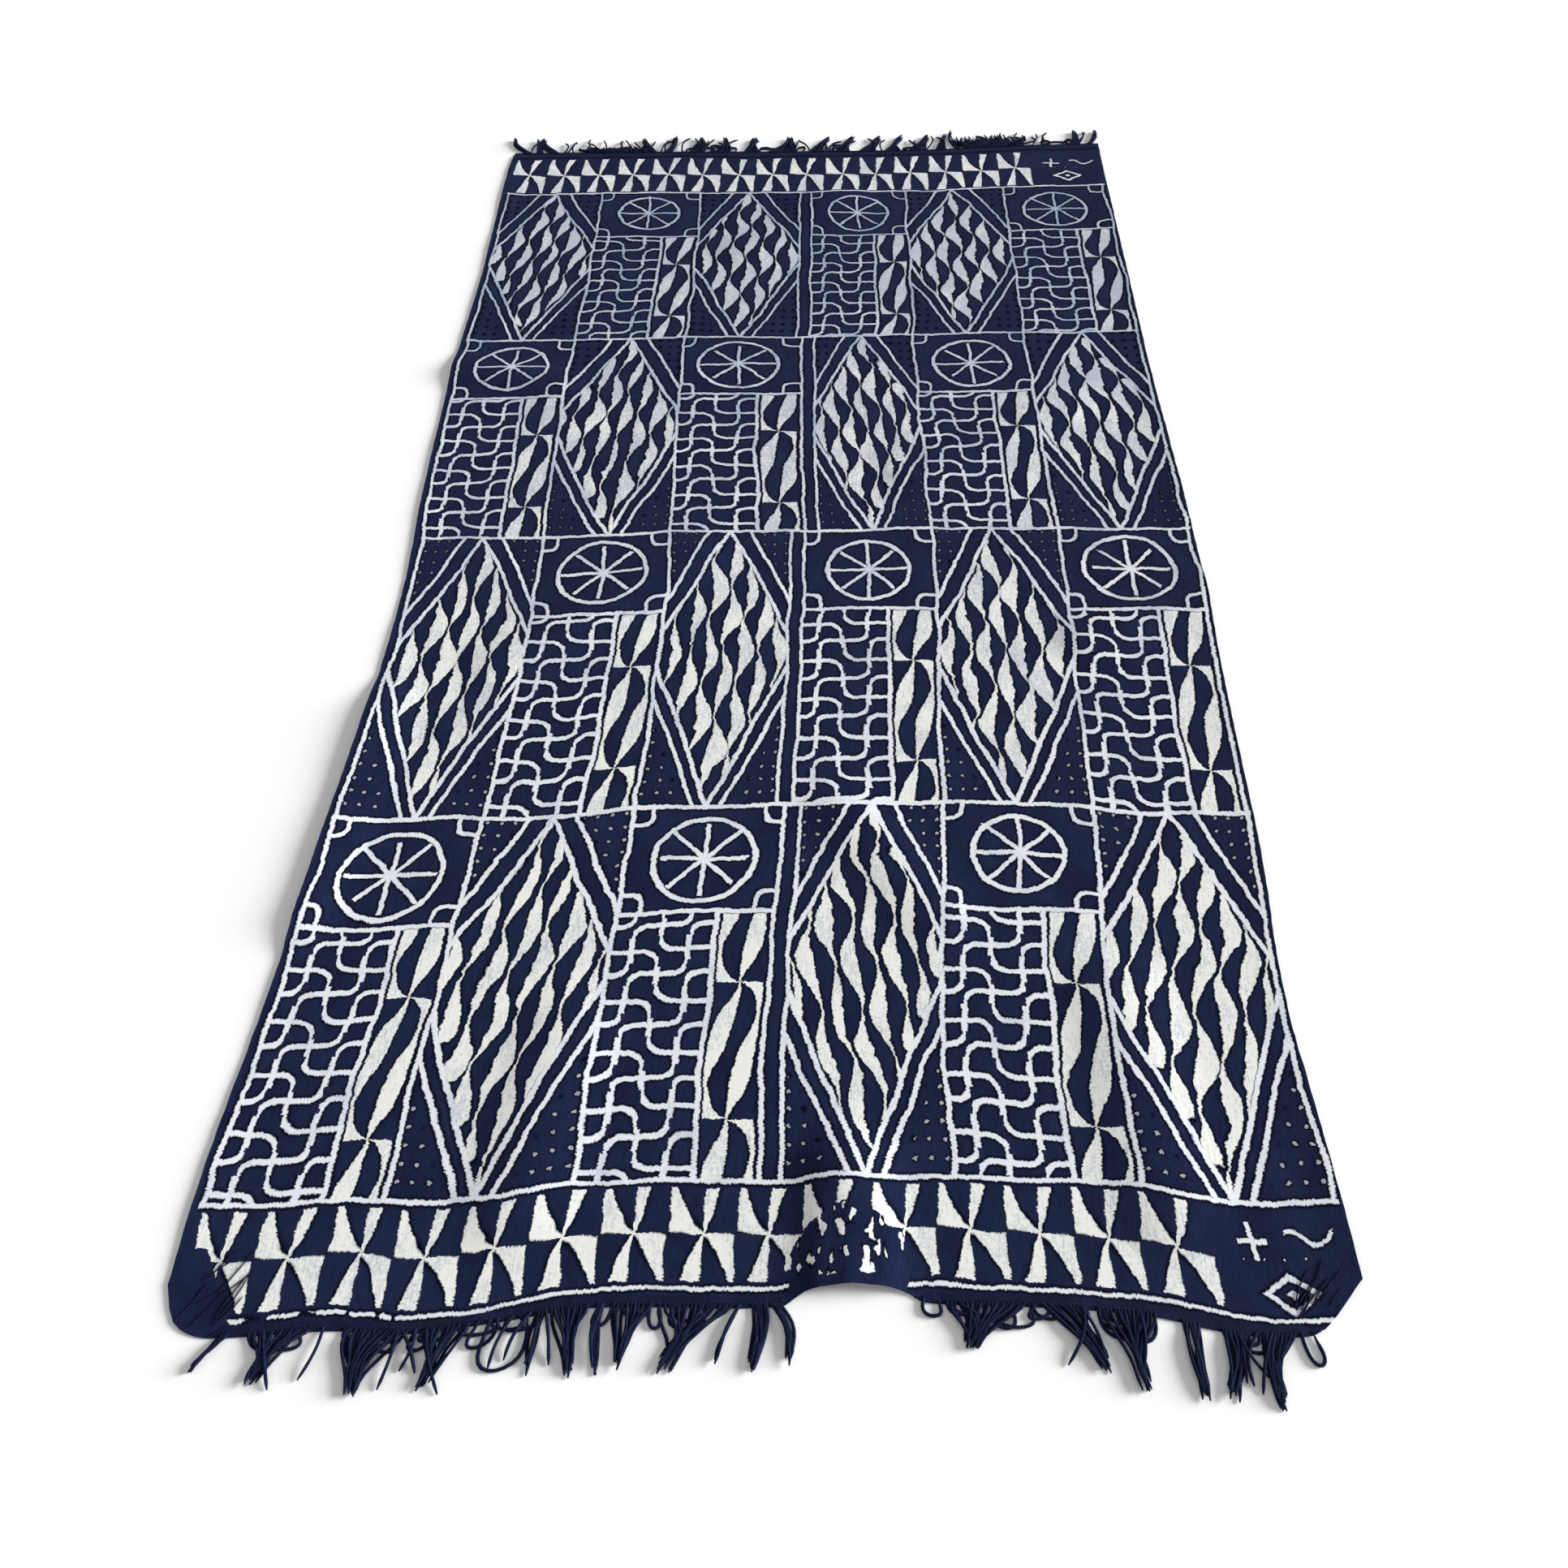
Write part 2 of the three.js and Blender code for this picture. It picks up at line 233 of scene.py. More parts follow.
def stripDepth(strip, x):
    fromStart = ease(x - strip["start"] + clothSheet["stripOverrun"], 0, clothSheet["stripTaper"])
    fromStop = ease(strip["stop"] + clothSheet["stripOverrun"] - x, 0, clothSheet["stripTaper"])
    return clothSheet["stripDepth"] * fromStart * fromStop


def nearEdge(x):
    left = stripDepth(strips["fringe_near_left"], x)
    right = stripDepth(strips["fringe_near_right"], x)
    return follow(nearHem["x"], nearHem["y"], x) + left + right


def farEdge(x):
    return follow(farHem["x"], farHem["y"], x) - clothSheet["stripDepth"]


def ridgeHeight(ridge, x, y):
    line = mathutils.Vector(ridge["stop"]) - mathutils.Vector(ridge["start"])
    place = mathutils.Vector((x, y)) - mathutils.Vector(ridge["start"])
    t = min(max(place.dot(line) / line.length_squared, 0), 1)
    away = (place - line * t).length / ridge["half"]
    return ridge["height"] * (1 - away * away) ** 2 if away < 1 else 0


def pleatHeight(x, y):
    across = (x - bucklePleats["left"]) / (bucklePleats["right"] - bucklePleats["left"])
    fade = 1 - (y - bucklePleats["start"]) / bucklePleats["length"]
    if across < 0 or across > 1 or fade < 0:
        return 0
    wave = (1 - math.cos(across * bucklePleats["count"] * math.tau)) / 2
    return bucklePleats["height"] * min(fade, 1) * wave


def clothHeight(x, y):
    return pleatHeight(x, y) + sum(ridgeHeight(ridge, x, y) for ridge in ridgeLines)


def thicken(sheet):
    # the sheet is the underside, and its thickness goes upwards
    wall = sheet.modifiers.new("weaveThickness", "SOLIDIFY")
    wall.thickness = clothSheet["thickness"]
    wall.offset = 1
    bpy.ops.object.modifier_apply(modifier=wall.name)
    bpy.ops.object.shade_smooth_by_angle(angle=math.radians(clothSheet["smoothAngle"]))


def makeCloth():
    bpy.ops.object.select_all(action="DESELECT")
    columns = clothSheet["columns"]
    rows = clothSheet["rows"]
    bpy.ops.mesh.primitive_grid_add(x_subdivisions=columns, y_subdivisions=rows, size=1, calc_uvs=True)
    cloth = bpy.context.object
    cloth.name = "dyed_cloth"
    grid = cloth.data.uv_layers[0]
    grid.name = "clothGrid"
    dyedAlong = []
    for vertex in cloth.data.vertices:
        across = vertex.co.x + 0.5
        along = vertex.co.y + 0.5
        hemX = (across - 0.5) * clothSheet["hemWidth"]
        y = nearEdge(hemX) + (farEdge(hemX) - nearEdge(hemX)) * along
        x = sideX(across, y)
        dyedNear = follow(dyedHem["x"], dyedHem["y"], hemX)
        dyedAlong.append((y - dyedNear) / (farEdge(hemX) - dyedNear))
        toSide = min(across, 1 - across)
        outward = math.copysign(1, across - 0.5)
        # each selvedge reads its own stretch of the noise
        ragged = mathutils.noise.noise((y * clothSheet["edgeRaggedWaves"], outward * 5, 1.7))
        lift = 0.5 + 0.5 * mathutils.noise.noise((y * clothSheet["edgeLiftWaves"], outward * 3, 0.3))
        sideFade = max(0, 1 - toSide * clothSheet["edgeFade"])
        z = clothHeight(x, y) + clothSheet["edgeLift"] * lift * sideFade
        x += clothSheet["edgeRagged"] * ragged * sideFade * outward
        vertex.co = (x + laidShift[0], y + laidShift[1], z)
    for loop in cloth.data.loops:
        grid.data[loop.index].uv.y = dyedAlong[loop.vertex_index]
    thicken(cloth)
    print("cloth sheet:", len(cloth.data.polygons), "faces")
    return cloth


# a node output that takes part in plain sums
class Wire:
    def __init__(self, tree, socket):
        self.tree = tree
        self.socket = socket

    def math(self, operation, *others, clamp=False):
        node = self.tree.nodes.new("ShaderNodeMath")
        node.operation = operation
        node.use_clamp = clamp
        node.hide = True
        for place, value in zip(node.inputs, (self, *others)):
            if isinstance(value, Wire):
                self.tree.links.new(value.socket, place)
            else:
                place.default_value = value
        return Wire(self.tree, node.outputs[0])

    def __add__(self, other):
        return self.math("ADD", other)

    def __sub__(self, other):
        return self.math("SUBTRACT", other)

    def __mul__(self, other):
        return self.math("MULTIPLY", other)

    def __truediv__(self, other):
        return self.math("DIVIDE", other)

    def __pow__(self, other):
        return self.math("POWER", other)

    def __radd__(self, other):
        return self.math("ADD", other)

    def __rsub__(self, other):
        return self.math("MULTIPLY_ADD", -1.0, other)

    def __neg__(self):
        return self.math("MULTIPLY", -1.0)

    def size(self):
        return self.math("ABSOLUTE")

    def least(self, other):
        return self.math("MINIMUM", other)

    def most(self, other):
        return self.math("MAXIMUM", other)

    def over(self, limit):
        return self.math("GREATER_THAN", limit)

    def under(self, limit):
        return self.math("LESS_THAN", limit)

    def whole(self):
        return self.math("FLOOR")

    def part(self):
        return self.math("FRACT")

    def fold(self, span):
        return self.math("PINGPONG", span)

    def sine(self):
        return self.math("SINE")

    def root(self):
        return self.math("SQRT")


# dye chart, in millimetres on the flat cloth, from its left selvedge and its near hem
dyeChart = {
    "width": 968.0,
    "length": 1880.0,
    "hemLines": (4.5, 1871.0),
    "hemWeights": (0.62, 0.7),
    "farHemStrength": 0.445,
    "rowLines": (96.0, 498.0, 927.0, 1345.0, 1752.0),
    "rowWeights": (0.8, 1.0, 1.0, 1.0, 0.9),
    "rowOverrun": 3,
    "columns": ((9.5, 160.7), (160.7, 318.5), (318.5, 476.0),
                (494.0, 643.0), (643.0, 800.5), (800.5, 962.0)),
    "frameWeight": 0.9,
    "sideWeight": 0.8,
    "sidesteps": (-10, 9),
    "sidestepMiddle": 485,
    "sidestepReach": 150,
    "blockWidth": 157.0,
    "blockHeight": 414.0,
    "lineHalf": 2.55,
    "inkSoft": 7.0,
    "inkStart": 2.92,
    "threadPitch": 1.5,
    "threadJitter": 0.6,
    "drawnWobble": 3.0,
    "drawnWobbleSize": 80.0,
    "shakyWobble": 0.85,
    "shakyWobbleSize": 13.0,
    "roughness": 2,
}
dyeColours = {
    "indigo": (0.0086, 0.0128, 0.0395),
    "indigoWorn": (0.0170, 0.0250, 0.0670),
    "indigoPooled": (0.0012, 0.0020, 0.0080),
    "lineWhite": (0.740, 0.780, 0.820),
    "lineBlue": (0.310, 0.380, 0.520),
    "cream": (0.810, 0.815, 0.770),
    "creamGrey": (0.440, 0.490, 0.560),
}


def inkLine(distance, half, soft=dyeChart["inkSoft"]):
    return distance.size().math("MULTIPLY_ADD", -1 / soft, half / soft + 0.5, clamp=True)


def inkArea(depth, soft=dyeChart["inkSoft"]):
    return depth.math("MULTIPLY_ADD", 1 / soft, 0.5, clamp=True)


def between(value, low, high):
    return value.over(low) * value.under(high)


def ladder(value, steps):
    # rungs climbed, with the share of the next one
    total = 0.0
    for low, high in steps:
        rung = (value - low).math("DIVIDE", high - low, clamp=True)
        total = rung + total
    return total


def joined(tree, x, y, z=0.0):
    node = tree.nodes.new("ShaderNodeCombineXYZ")
    node.hide = True
    for place, value in zip(node.inputs, (x, y, z)):
        if isinstance(value, Wire):
            tree.links.new(value.socket, place)
        else:
            place.default_value = value
    return node.outputs[0]


def threeFields(tree, colour):
    split = tree.nodes.new("ShaderNodeSeparateColor")
    tree.links.new(colour, split.inputs[0])
    return [Wire(tree, socket) - 0.5 for socket in split.outputs]


def cloud(tree, x, y, seed, detail=1.0):
    # three smooth random fields, each about nought
    node = tree.nodes.new("ShaderNodeTexNoise")
    node.inputs["Scale"].default_value = 1.0
    node.inputs["Detail"].default_value = detail
    tree.links.new(joined(tree, x, y, seed), node.inputs["Vector"])
    return threeFields(tree, node.outputs["Color"])


def dice(tree, x, y):
    # a new throw for every pair of whole numbers
    node = tree.nodes.new("ShaderNodeTexWhiteNoise")
    node.noise_dimensions = "2D"
    tree.links.new(joined(tree, x, y), node.inputs["Vector"])
    return node


def perThread(tree, index, seed):
    return Wire(tree, dice(tree, index, seed).outputs["Value"]) - 0.5


def perBlock(tree, column, row):
    return threeFields(tree, dice(tree, column, row).outputs["Color"])


# border of pinwheels: its places in millimetres, then the sails in a cell that runs from -1 to 1 both ways
pinwheel = {
    "pitch": 56.2,
    "start": 9.0,
    "stop": 852.0,
    "fromHem": 3,
    "fromRow": 2,
    "bareLeft": 12,
    "bareBelow": 3,
    "bareAbove": 4,
    "sailSwell": 0.8,
    "wedge": 0.08,
    "broadSteepness": (0.9, 0.65),
    "broadBend": 1.6,
    "broadRise": 1.25,
    "broadReach": 0.93,
    "slimBend": 0.85,
    "slimSpread": 0.46,
    "slimSpreadBelow": 0.14,
}


def pinwheelSails(x, y):
    # two broad sails, and two slim ones beside the upright
    wide = x.size()
    high = y.size()
    levelRim = (high - wide * pinwheel["wedge"]) * pinwheel["broadSteepness"][0]
    hollowRim = wide ** pinwheel["broadBend"] * pinwheel["broadRise"] - high
    hollowRim = hollowRim * pinwheel["broadSteepness"][1]
    broad = levelRim.least(hollowRim).least(pinwheel["broadReach"] - wide)
    flare = y.under(0.0) * pinwheel["slimSpreadBelow"] + pinwheel["slimSpread"]
    slim = (wide - high * pinwheel["wedge"]).least(high ** pinwheel["slimBend"] * flare - wide)
    downhill = (x * y).under(0.0)
    cellHalf = pinwheel["pitch"] / 2
    broad = inkArea(broad * cellHalf + pinwheel["sailSwell"]) * downhill
    return broad.most(inkArea(slim * cellHalf + pinwheel["sailSwell"]) * (1 - downhill))


# column of long leaves: its middle and bounds as shares of the block, its sizes in millimetres,
# and the left and right rims of one leaf, 0 to 1 across, from its upper crossing down
longLeaf = {
    "middle": 0.82,
    "columnLeft": 0.662,
    "columnTop": 0.667,
    "halfWidth": 25,
    "length": 143,
    "start": 198,
    "left": ((0, 0.50), (0.12, 0.36), (0.22, 0.20), (0.34, 0.10), (0.50, 0.07), (1, 0.06)),
    "right": ((0, 0.52), (0.15, 0.50), (0.35, 0.44), (0.50, 0.36), (0.58, 0.27), (0.66, 0.18),
              (0.74, 0.12), (0.86, 0.16), (0.95, 0.29), (1, 0.50)),
}


def handCurve(value, points):
    node = value.tree.nodes.new("ShaderNodeFloatCurve")
    curve = node.mapping.curves[0]
    curve.points[0].location = points[0]
    curve.points[1].location = points[-1]
    for place, height in points[1:-1]:
        curve.points.new(place, height)
    node.mapping.update()
    value.tree.links.new(value.socket, node.inputs["Value"])
    return Wire(value.tree, node.outputs[0]) * 2 - 1


def leafPair(x, down):
    # the second leaf is the first one turned half round
    rest = 1 - down
    first = (x - handCurve(down, longLeaf["left"])).least(handCurve(down, longLeaf["right"]) - x)
    second = (-x - handCurve(rest, longLeaf["left"])).least(handCurve(rest, longLeaf["right"]) + x)
    return inkArea(first.most(second) * longLeaf["halfWidth"])


# lozenge: its tips and widest place as shares of the block, the rest in millimetres
lozenge = {
    "topShare": 0.41,
    "bottomShare": 0.47,
    "middleVaries": 0.05,
    "halfWidth": 73,
    "rimGap": 14,
    "rimGapGrows": 9,
    "rimWeight": 0.95,
    "chainPitch": 43,
    "leafLength": 98,
    "leafStartVaries": 60,
    "lean": 0.10,
    "leanVaries": 0.18,
    "snake": 2.2,
    "snakeLength": 15.6,
    "leafRoughness": 6,
    "leafWidth": 14.5,
    "leafWidthVaries": 26,
    "leafRound": 0.85,
    "leafBack": 1.7,
    "fullAtRim": 0.4,
    "fullerInside": 0.06,
    "dotFold": (7.2, 8.5),
    "dotRadius": 2.9,
    "dotSoft": 2.4,
    "dotsFromRim": 26,
    "dotStrength": 0.49,
}


def lozengeBlock(a, b, rough, chance, fatness):
    wide = dyeChart["blockWidth"]
    tall = dyeChart["blockHeight"]
    half = dyeChart["lineHalf"]
    side = (a - 0.5 + chance[0] * lozenge["middleVaries"]).size() * 2
    reach = ((1 - b) / lozenge["topShare"]).least(b / lozenge["bottomShare"])
    outside = (side - reach) * lozenge["halfWidth"] + rough * dyeChart["roughness"]
    outerRim = outside - lozenge["rimGap"] - b * lozenge["rimGapGrows"]
    rim = inkLine(outside, half).most(inkLine(outerRim, half * lozenge["rimWeight"]))
    # leaning chains of leaves, each bulging to one side of its tips, mirrored in about half the blocks
    pitch = lozenge["chainPitch"]
    leafY = (b - lozenge["bottomShare"]) * tall + chance[1] * lozenge["leafStartVaries"]
    mirrored = (a - 0.5) * wide * chance[2].math("SIGN")
    lean = leafY * (lozenge["lean"] + chance[1] * lozenge["leanVaries"])
    snake = (leafY / lozenge["snakeLength"]).sine() * lozenge["snake"]
    leafX = (mirrored - lean + rough * lozenge["leafRoughness"] + snake) / pitch
    swell = (leafY * (math.tau / lozenge["leafLength"])).math("COSINE") * 0.5 + 0.5
    firstChain = (leafX.part() - 0.5) * pitch
    nextChain = ((leafX + 0.5).part() - 0.5) * pitch
    fullness = (outside * -lozenge["fullerInside"] + lozenge["fullAtRim"]).least(1.0)
    full = (fatness * lozenge["leafWidthVaries"] + lozenge["leafWidth"]) * fullness
    firstBulge = swell ** lozenge["leafRound"] * full
    nextBulge = (1 - swell) ** lozenge["leafRound"] * full
    firstLeaf = (firstBulge - firstChain).least(firstChain + lozenge["leafBack"])
    nextLeaf = (nextBulge - nextChain).least(nextChain + lozenge["leafBack"])
    leaves = inkArea(firstLeaf.most(nextLeaf) + rough * dyeChart["roughness"]) * inkArea(-outside)
    dotX = ((a - 0.5) * wide).fold(lozenge["dotFold"][0])
    dotY = (b * tall).fold(lozenge["dotFold"][1])
    dots = inkArea(lozenge["dotRadius"] - (dotX * dotX + dotY * dotY).root(), lozenge["dotSoft"])
    dots = dots * inkArea(outside - lozenge["dotsFromRim"]) * lozenge["dotStrength"]
    return rim.most(dots), leaves


# net of winding lines: its right side and its post as shares of the block, the rest in millimetres
net = {
    "share": 0.64,
    "post": 0.645,
    "pitch": 56.0,
    "startVaries": 34,
    "risingAt": (20, 77),
    "risingParted": 48,
    "risingBend": 13.5,
    "risingWeight": 1.1,
    "fallingAt": 47,
    "fallingStart": 26,
    "fallingBend": 18,
}


def windingLine(x, y, bend):
    # distance to a set of level lines that each climb one pitch, with round bends, where x is nought
    turned = y * -x.math("SIGN")
    below = (((turned + bend) / net["pitch"]).part() * net["pitch"] - 2 * bend).least(0.0)
    beside = (bend - x.size()).most(0.0)
    return (beside * beside + below * below).root() - bend


# wheel over its shelf: places as shares of the block, sizes in millimetres
wheel = {
    "middle": (0.49, 0.832),
    "middleVaries": 0.03,
    "ring": 50,
    "ringVaries": 6,
    "ringWeight": 1.08,
    "spokeReach": 47,
    "spokeReachVaries": 22,
    "spokeWeight": 0.95,
    "panelMiddle": 0.838,
    "panelHalf": (78, 67),
    "hook": (20, 23),
    "hookSize": 21,
    "hookBend": 4,
    "hookWeight": 0.85,
    "shelf": 0.675,
}
slantShare = 0.7071  # cosine of 45 degrees


def wheelBlock(a, b, rough, chance):
    wide = dyeChart["blockWidth"]
    tall = dyeChart["blockHeight"]
    half = dyeChart["lineHalf"]
    shake = dyeChart["roughness"]
    x = (a - wheel["middle"][0] + chance[0] * wheel["middleVaries"]) * wide
    y = (b - wheel["middle"][1] + chance[1] * wheel["middleVaries"]) * tall
    radius = (x * x + y * y).root() + rough * shake
    ring = inkLine(radius - wheel["ring"] - chance[2] * wheel["ringVaries"], half * wheel["ringWeight"])
    slant = (x.size() - y.size()).size() * slantShare
    toSpoke = x.size().least(y.size()).least(slant)
    inRing = (radius + rough * wheel["spokeReachVaries"]).under(wheel["spokeReach"])
    spokes = inkLine(toSpoke, half * wheel["spokeWeight"]) * inRing
    # a hook with a rounded bend cuts off each corner
    bend = wheel["hookBend"]
    toSide = (wheel["panelHalf"][0] - x.size()) / wheel["hook"][0]
    toEnd = (wheel["panelHalf"][1] - ((b - wheel["panelMiddle"]) * tall).size()) / wheel["hook"][1]
    hook = ((toSide ** bend + toEnd ** bend) ** (1 / bend) - 1) * wheel["hookSize"]
    hooks = inkLine(hook, half * wheel["hookWeight"])
    shelf = inkLine((b - wheel["shelf"]) * tall + rough * shake, half)
    panel = ring.most(spokes).most(hooks) * b.over(wheel["shelf"])
    # net of winding lines, then a post and a column of long leaves
    netX = a * wide + rough * shake
    netY = b * tall + chance[2] * net["startVaries"]
    first, second = net["risingAt"]
    risingX = netX - first - netX.over(net["risingParted"]) * (second - first)
    rising = windingLine(risingX, netY, net["risingBend"])
    falling = windingLine(netX - net["fallingAt"], net["fallingStart"] - netY, net["fallingBend"])
    winding = inkLine(rising, half * net["risingWeight"]).most(inkLine(falling, half))
    winding = winding * a.under(net["share"])
    post = inkLine((a - net["post"]) * wide + rough * shake, half)
    lower = winding.most(post) * b.under(wheel["shelf"])
    leafX = (a - longLeaf["middle"]) * wide / longLeaf["halfWidth"]
    down = ((longLeaf["start"] - b * tall) / longLeaf["length"]).part()
    leaves = leafPair(leafX, down) * a.over(longLeaf["columnLeft"]) * b.under(longLeaf["columnTop"])
    return panel.most(shelf).most(lower), leaves


def borderBand(x, v, low, high):
    # a row of pinwheels, then a plain corner
    cell = (x - pinwheel["start"]) / pinwheel["pitch"]
    sailX = cell.part() * 2 - 1
    sailY = (v - (low + high) / 2) / ((high - low) / 2)
    sails = pinwheelSails(sailX, sailY)
    inBand = between(v, low + pinwheel["bareBelow"], high - pinwheel["bareAbove"])
    return sails * inBand * between(x, pinwheel["bareLeft"], pinwheel["stop"])


# plain signs in the bare corners, in millimetres from the middle of the corner
cornerSigns = {
    "middle": 908,
    "clear": 8,
    "lineWeight": 0.75,
    "crossLeft": 24,
    "crossUp": 14,
    "crossHalf": (13, 15),
    "kiteDown": 26,
    "kiteSize": 14,
    "kiteNarrow": 0.7,
    "kiteSteepness": 0.8,
    "kiteHeart": 3.5,
    "waveUp": 16,
    "waveHeight": 6,
    "waveLength": 6.5,
    "waveSpan": (6, 46),
    "dotFold": 9,
    "dotRadius": 1.3,
    "dotSoft": 2.4,
    "dotsAcross": (-36, 30),
    "dotsUp": (-14, 6),
    "dotStrength": 0.7,
}


def cornerMarks(x, v, middle):
    # a plain cross, a kite, a wave and a few dots in the bare corner
    across = x - cornerSigns["middle"]
    up = v - middle
    half = dyeChart["lineHalf"] * cornerSigns["lineWeight"]
    crossX = across + cornerSigns["crossLeft"]
    crossY = up - cornerSigns["crossUp"]
    cross = inkLine(crossX, half) * crossY.size().under(cornerSigns["crossHalf"][1])
    cross = cross.most(inkLine(crossY, half) * crossX.size().under(cornerSigns["crossHalf"][0]))
    kite = across.size() * cornerSigns["kiteNarrow"] + (up + cornerSigns["kiteDown"]).size()
    rim = inkLine((kite - cornerSigns["kiteSize"]) * cornerSigns["kiteSteepness"], half)
    heart = inkArea(cornerSigns["kiteHeart"] - kite)
    swing = (across / cornerSigns["waveLength"]).sine() * cornerSigns["waveHeight"]
    wave = inkLine(up - cornerSigns["waveUp"] - swing, half) * between(across, *cornerSigns["waveSpan"])
    dotX = across.fold(cornerSigns["dotFold"])
    dotY = up.fold(cornerSigns["dotFold"])
    dots = inkArea(cornerSigns["dotRadius"] - (dotX * dotX + dotY * dotY).root(), cornerSigns["dotSoft"])
    dots = dots * between(across, *cornerSigns["dotsAcross"])
    dots = dots * between(up, *cornerSigns["dotsUp"]) * cornerSigns["dotStrength"]
    inCorner = x.over(pinwheel["stop"] + cornerSigns["clear"])
    return cross.most(rim).most(heart).most(wave).most(dots) * inCorner


# where the dye breaks off, at the frayed left corner and in dashes along the near hem, and the buckle,
# where dark streaks of painted crease shade break up the white
brokenDyeAndCreaseShade = {
    "buckleMiddle": (552, 12),
    "buckleHalf": (50, 58),
    "buckleRoughness": 0.5,
    # size, threshold and steepness of the dark streaks of painted crease shade in the buckle
    "creaseShadeSize": (7, 16),
    "creaseShadeLimit": 0.11,
    "creaseShadeSteepness": 40,
    "cornerSpan": (-20, 62),
    "cornerSlope": 0.55,
    "cornerReach": 58,
    "dashSize": 11,
    "dashShare": 0.15,
    "dashSteepness": 40,
    "dashesStop": 230,
}


def dyePattern(tree):
    grid = tree.nodes.new("ShaderNodeUVMap")
    grid.uv_map = "clothGrid"
    split = tree.nodes.new("ShaderNodeSeparateXYZ")
    tree.links.new(grid.outputs[0], split.inputs[0])
    plainX = Wire(tree, split.outputs[0]) * dyeChart["width"]
    plainV = Wire(tree, split.outputs[1]) * dyeChart["length"]
    # drawn by hand, sewn by hand, and stepped from thread to thread
    drawnSize = dyeChart["drawnWobbleSize"]
    shakySize = dyeChart["shakyWobbleSize"]
    drawn = cloud(tree, plainX / drawnSize, plainV / drawnSize, seed=3.1)
    shaky = cloud(tree, plainX / shakySize, plainV / shakySize, seed=8.4)
    warp = perThread(tree, (plainX / dyeChart["threadPitch"]).whole(), seed=1.0)
    weft = perThread(tree, (plainV / dyeChart["threadPitch"]).whole(), seed=2.0)
    # a cloud swings about a quarter either way, a thread a half
    drawnBy = dyeChart["drawnWobble"] * 4
    shakyBy = dyeChart["shakyWobble"] * 4
    jitter = dyeChart["threadJitter"] * 2
    x = plainX + drawn[0] * drawnBy + shaky[0] * shakyBy + weft * jitter
    v = plainV + drawn[1] * drawnBy + shaky[1] * shakyBy + warp * jitter
    rowSteps = list(zip(dyeChart["rowLines"], dyeChart["rowLines"][1:]))
    climb = ladder(v, rowSteps)
    # the middle strip steps sideways in the second and third rows
    secondStep, thirdStep = dyeChart["sidesteps"]
    sidestep = between(climb, 1, 2) * secondStep + between(climb, 2, 3) * thirdStep
    fromMiddle = (x - dyeChart["sidestepMiddle"]).size()
    x = x - sidestep * (1 - fromMiddle / dyeChart["sidestepReach"]).most(0.0)
    walk = ladder(x, dyeChart["columns"])
    a = walk.part()
    b = climb.part()
    row = climb.whole()
    column = walk.whole()
    chance = perBlock(tree, column, row)
    rough = shaky[2]
    lozengeLines, leaves = lozengeBlock(a, b, rough, chance, drawn[2])
    wheelLines, longLeaves = wheelBlock(a, b, rough, chance)
    # lozenges and wheels take turns, along and across
    isLozenge = ((row + column) * 0.5).part().over(0.25)
    firstLeft = dyeChart["columns"][0][0]
    lastRight = dyeChart["columns"][-1][1]
    stripLeft = dyeChart["columns"][2][1]
    stripRight = dyeChart["columns"][3][0]
    inField = between(v, rowSteps[0][0], rowSteps[-1][1]) * between(x, firstLeft, lastRight)
    inBlocks = inField * (1 - between(x, stripLeft, stripRight))
    lines = (lozengeLines * isLozenge + wheelLines * (1 - isLozenge)) * inBlocks
    fills = (leaves * isLozenge + longLeaves * (1 - isLozenge)) * inBlocks
    # block frames, the two lines of the middle strip, and the sides
    half = dyeChart["lineHalf"]
    frames = inkLine(a.least(1 - a) * dyeChart["blockWidth"], half * dyeChart["frameWeight"]) * inBlocks
    for edge in (stripLeft, stripRight, firstLeft, lastRight):
        upright = inkLine(x - edge, half * dyeChart["sideWeight"])
        frames = frames.most(upright * between(v, rowSteps[0][0], rowSteps[-1][1]))
    # hem and row lines, with the breaks in the near hem
    rugged = rough * brokenDyeAndCreaseShade["buckleRoughness"]
    buckleX = (x - brokenDyeAndCreaseShade["buckleMiddle"][0]) / brokenDyeAndCreaseShade["buckleHalf"][0] + rugged
    buckleV = (v - brokenDyeAndCreaseShade["buckleMiddle"][1]) / brokenDyeAndCreaseShade["buckleHalf"][1] + rugged
    inBuckle = (buckleX * buckleX + buckleV * buckleV).under(1.0)
    slope = x + v * brokenDyeAndCreaseShade["cornerSlope"]
    inCorner = between(v, *brokenDyeAndCreaseShade["cornerSpan"]) * slope.under(brokenDyeAndCreaseShade["cornerReach"])
    dashes = cloud(tree, x / brokenDyeAndCreaseShade["dashSize"], 0.0, seed=4.6)[0] + brokenDyeAndCreaseShade["dashShare"]
    dashes = inkArea(dashes * brokenDyeAndCreaseShade["dashSteepness"]).most((x - brokenDyeAndCreaseShade["dashesStop"]).over(0))
    nearHemLine, farHemLine = dyeChart["hemLines"]
    nearWeight, farWeight = dyeChart["hemWeights"]
    levels = inkLine(v - nearHemLine, half * nearWeight) * (1 - inBuckle) * dashes
    levels = levels.most(inkLine(v - farHemLine, half * farWeight) * dyeChart["farHemStrength"])
    for level, weight in zip(dyeChart["rowLines"], dyeChart["rowWeights"]):
        levels = levels.most(inkLine(v - level, half * weight))
    levels = levels * between(x, firstLeft - dyeChart["rowOverrun"], lastRight + dyeChart["rowOverrun"])
    lines = lines.most(frames).most(levels)
